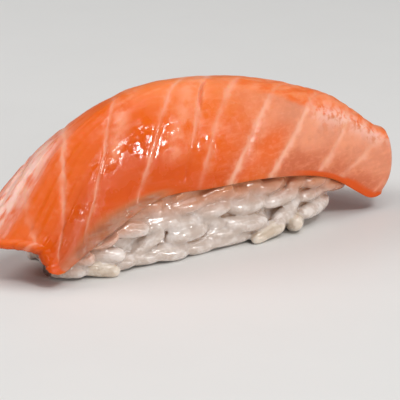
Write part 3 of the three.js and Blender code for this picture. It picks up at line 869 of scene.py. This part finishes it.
def surface_of(field):
    """Vertices, in cells, and four-sided faces of the surface where a field is zero."""
    inside = field < 0
    corners = [(i, j, k) for i in (0, 1) for j in (0, 1) for k in (0, 1)]
    cut = [slice(None, -1), slice(1, None)]
    filled = sum(inside[cut[i], cut[j], cut[k]].astype(np.int8) for i, j, k in corners)
    cell = np.argwhere((filled > 0) & (filled < 8))
    total, crossings = np.zeros((len(cell), 3)), np.zeros(len(cell))
    for a in corners:
        for axis in range(3):
            if a[axis]:
                continue
            b = np.array(a) + np.eye(3, dtype=int)[axis]
            first, second = (field[tuple((cell + c).T)] for c in (a, b))
            crossed = (first < 0) != (second < 0)
            share = np.where(crossed, first / np.where(crossed, first - second, 1), 0)
            total += crossed[:, None] * (a + share[:, None] * (b - a))
            crossings += crossed
    number = np.full(filled.shape, -1)
    number[tuple(cell.T)] = np.arange(len(cell))
    faces = []
    for axis in range(3):
        one, other = np.roll(np.eye(3, dtype=int), -axis - 1, axis=0)[:2]
        edge = np.argwhere(inside != np.roll(inside, -1, axis))
        edge = edge[(edge > 0).all(1) & (edge < np.array(inside.shape) - 1).all(1)]
        backs = (0, one, one + other, other)
        around = np.stack([number[tuple((edge - back).T)] for back in backs], 1)
        leaving = inside[tuple(edge.T)]
        faces.append(np.where(leaving[:, None], around, around[:, ::-1]))
    return cell + total / crossings[:, None], np.concatenate(faces)


FLOOR_GAP = 0.02
heap_cells, heap_faces = surface_of(field)
heap_places = heap_cells * CELL + low
heap_places[:, 2] = np.maximum(heap_places[:, 2], FLOOR_GAP)
nearest_cell = tuple(np.round(heap_cells).astype(int).T)
grain_tones = np.array([0.5 + 0.5 * next(random) for _ in range(first_outer + len(outer_grains))])
grain_tones[[first_outer + yellow for yellow in YELLOW_GRAINS]] = 1

# The share of rice in the 2 mm round each place: over a half in a hollow, under a half on a ridge.
CROWD_CELLS = 7
solid = np.pad((field < 0).astype(float), (CROWD_CELLS + 1) // 2, mode="edge")
for axis in range(3):
    summed = np.cumsum(solid, axis=axis)
    ends = (range(start, start + cells[axis]) for start in (CROWD_CELLS, 0))
    ahead, behind = (np.take(summed, cells_there, axis) for cells_there in ends)
    solid = ahead - behind
crowding_there = solid[nearest_cell] / CROWD_CELLS**3

# Cooked rice: milky and slightly see-through, and here and there a yellowish grain. Painted light and
# shade: orange from the slice just below its hem, warm and dark deep between the grains, and lighter on
# the ridges.
RICE_MILK = (0.75, 0.67, 0.62, 1)
RICE_CLEAR = (0.57, 0.465, 0.40, 1)
RICE_YELLOW = (0.66, 0.53, 0.33, 1)
# Painted orange light and shade that the slice casts on the rice just below its hem.
RICE_PAINTED_SLICE_LIGHT = (0.54, 0.19, 0.07, 1)
# Painted shade, warm and dark, deep between the grains.
RICE_PAINTED_SHADE = (0.46, 0.27, 0.16, 1)

# Its pattern and how each effect sets in, given as those of the flesh are.
RICE_CLOUDS = (2.2, 2.0)
# Painted light: the rice is made milkier on ridges, where grain edges catch light.
PAINTED_LIGHT_ON_RIDGES, CLEAR_TO_MILK = (0.5, 0.25, 0.0, 0.25), (0.42, 0.75)
YELLOWISH = (0.96, 0.98, 0.0, 0.3)
# Where painted shade fills the hollows between the grains.
PAINTED_SHADE_IN_HOLLOWS = (0.62, 0.85, 0.0, 0.8)
RICE_ROUGHNESS = (0.0, 1.0, 0.3, 0.12)
# How strong the painted light and shade from the slice is; then the wet rice's beads and bump.
SLICE_LIGHT_STRENGTH, RICE_BEADS, RICE_BUMP = 0.9, 0.9, 0.1

cooked_rice, tree, shader = new_material("cooked_rice")
place = millimetres(tree)
crowding = read(tree, "crowding")
# Random clouds of milky and clear rice, and painted light that makes the ridges milkier.
milky = sums(tree, "ADD", cloud(tree, place, *RICE_CLOUDS), step(tree, crowding, *PAINTED_LIGHT_ON_RIDGES))
tone = blend(tree, step(tree, milky, *CLEAR_TO_MILK), RICE_CLEAR, RICE_MILK)
tone = blend(tree, step(tree, read(tree, "grain_tone"), *YELLOWISH), tone, RICE_YELLOW)
# Painted shade in the hollows between the grains.
tone = blend(tree, step(tree, crowding, *PAINTED_SHADE_IN_HOLLOWS), tone, RICE_PAINTED_SHADE)
# Painted orange light and shade from the slice, just below its hem.
tone = blend(tree, times(tree, read(tree, "painted_slice_light"), SLICE_LIGHT_STRENGTH), tone, RICE_PAINTED_SLICE_LIGHT)
tree.links.new(tone, shader.inputs["Base Color"])
wet = add(tree, "Group", {"Place": place, "Bead size": RICE_BEADS}, node_tree=wet_film)
tree.links.new(step(tree, wet.outputs["Wetness"], *RICE_ROUGHNESS), shader.inputs["Roughness"])
bump = add(tree, "Bump", {"Height": wet.outputs["Height"], "Strength": 0.5, "Distance": RICE_BUMP * MM})
tree.links.new(bump.outputs[0], shader.inputs["Normal"])
shader.inputs["IOR"].default_value = 1.45
shader.inputs["Coat Weight"].default_value = 0.8
shader.inputs["Coat Roughness"].default_value = 0.05
shader.inputs["Subsurface Weight"].default_value = 0.7
shader.inputs["Subsurface Radius"].default_value = (1.0, 0.9, 0.8)
shader.inputs["Subsurface Scale"].default_value = 1.3 * MM


# How much painted orange light and shade from the slice each place gets: most just below the slice's
# hem, and not at all 5 mm further down.
SLICE_LIGHT_STRETCH, SLICE_LIGHT_DOWN = 1.12, (0.4, 5.0)
hem_above = along(FRONT_HEM_HEIGHT, heap_places[:, 0] / SLICE_REACH * SLICE_LIGHT_STRETCH)
painted_slice_light = 1 - smooth(hem_above - heap_places[:, 2], *SLICE_LIGHT_DOWN)

rice = new_piece("rice_grains", heap_places, heap_faces, cooked_rice)
note(rice, "grain_tone", grain_tones[owner[nearest_cell]])
note(rice, "painted_slice_light", painted_slice_light)
note(rice, "crowding", crowding_there)
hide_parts("rice")
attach(rice, "root")

# ---------------------------------------------------------------- floor, light and camera
# A pale matt table top under the piece, lit by soft boxes: a large one overhead, the key light in front
# and above, one behind on the left, and three small ones low in front that the wet surfaces catch.
# Lengths here are in metres.

FLOOR_SIZE = 6.0
FLOOR_PALE, FLOOR_SHADE = (0.80, 0.79, 0.77, 1), (0.776, 0.7663, 0.7469, 1)
FLOOR_CLOUDS = (14.0, 4.0)
table_top, tree, shader = new_material("table_top")
clouds = cloud(tree, millimetres(tree), *FLOOR_CLOUDS)
tree.links.new(blend(tree, clouds, FLOOR_PALE, FLOOR_SHADE), shader.inputs["Base Color"])
shader.inputs["Roughness"].default_value = 0.6
half = FLOOR_SIZE / 2
floor_mesh = bpy.data.meshes.new("floor")
floor_mesh.from_pydata(
    [(-half, -half, 0), (half, -half, 0), (half, half, 0), (-half, half, 0)], [], [(0, 1, 2, 3)]
)
floor_mesh.materials.append(table_top)
floor = bpy.data.objects.new("floor", floor_mesh)
bpy.context.scene.collection.objects.link(floor)


def direction(azimuth, elevation):
    """The way out from the piece. Azimuth 0 is to its front and 90 to its right."""
    a, e = math.radians(azimuth), math.radians(elevation)
    return Vector((math.sin(a) * math.cos(e), -math.cos(a) * math.cos(e), math.sin(e)))


PIECE_MIDDLE = Vector((0, 0, 0.015))


def soft_box(name, azimuth, elevation, distance, size, power):
    """An area light that faces the piece."""
    light = bpy.data.lights.new(name, "AREA")
    light.shape = "RECTANGLE"
    light.size, light.size_y = size
    light.energy = power
    lamp = bpy.data.objects.new(name, light)
    away = direction(azimuth, elevation)
    lamp.location = away * distance + PIECE_MIDDLE
    lamp.rotation_euler = away.to_track_quat("Z", "Y").to_euler()
    bpy.context.scene.collection.objects.link(lamp)


soft_box("overhead", 20, 72, 0.7, (0.7, 0.6), 2.2)
soft_box("key", 3, 50, 0.8, (0.15, 0.15), 1.6)
soft_box("behind_left", -130, 42, 0.7, (0.45, 0.25), 1.9)
soft_box("front_low", 21, 1.5, 0.9, (0.07, 0.035), 1.5)
soft_box("front_high", 8, 12, 0.9, (0.04, 0.04), 0.7)
soft_box("front_left", -22, 23, 0.8, (0.08, 0.08), 0.4)

STUDIO_WHITE, STUDIO_STRENGTH = (0.95, 0.97, 1.0, 1), 0.18
world = bpy.data.worlds.new("studio")
bpy.context.scene.world = world
world.use_nodes = True
background = world.node_tree.nodes["Background"]
background.inputs["Color"].default_value = STUDIO_WHITE
background.inputs["Strength"].default_value = STUDIO_STRENGTH
bpy.context.scene.view_settings.view_transform = "Standard"

CAMERA_AZIMUTH, CAMERA_ELEVATION, CAMERA_DISTANCE = -36, 18, 0.45
CAMERA_TARGET = Vector((0.0053, 0.0, 0.005))
CAMERA_LENS, CAMERA_SENSOR, CAMERA_NEAREST = 247.0, 36, 0.01
camera = bpy.data.objects.new("camera", bpy.data.cameras.new("camera"))
away = direction(CAMERA_AZIMUTH, CAMERA_ELEVATION)
camera.location = CAMERA_TARGET + away * CAMERA_DISTANCE
camera.rotation_euler = away.to_track_quat("Z", "Y").to_euler()
camera.data.lens = CAMERA_LENS
camera.data.sensor_width = CAMERA_SENSOR
camera.data.clip_start = CAMERA_NEAREST
bpy.context.scene.collection.objects.link(camera)
bpy.context.scene.camera = camera
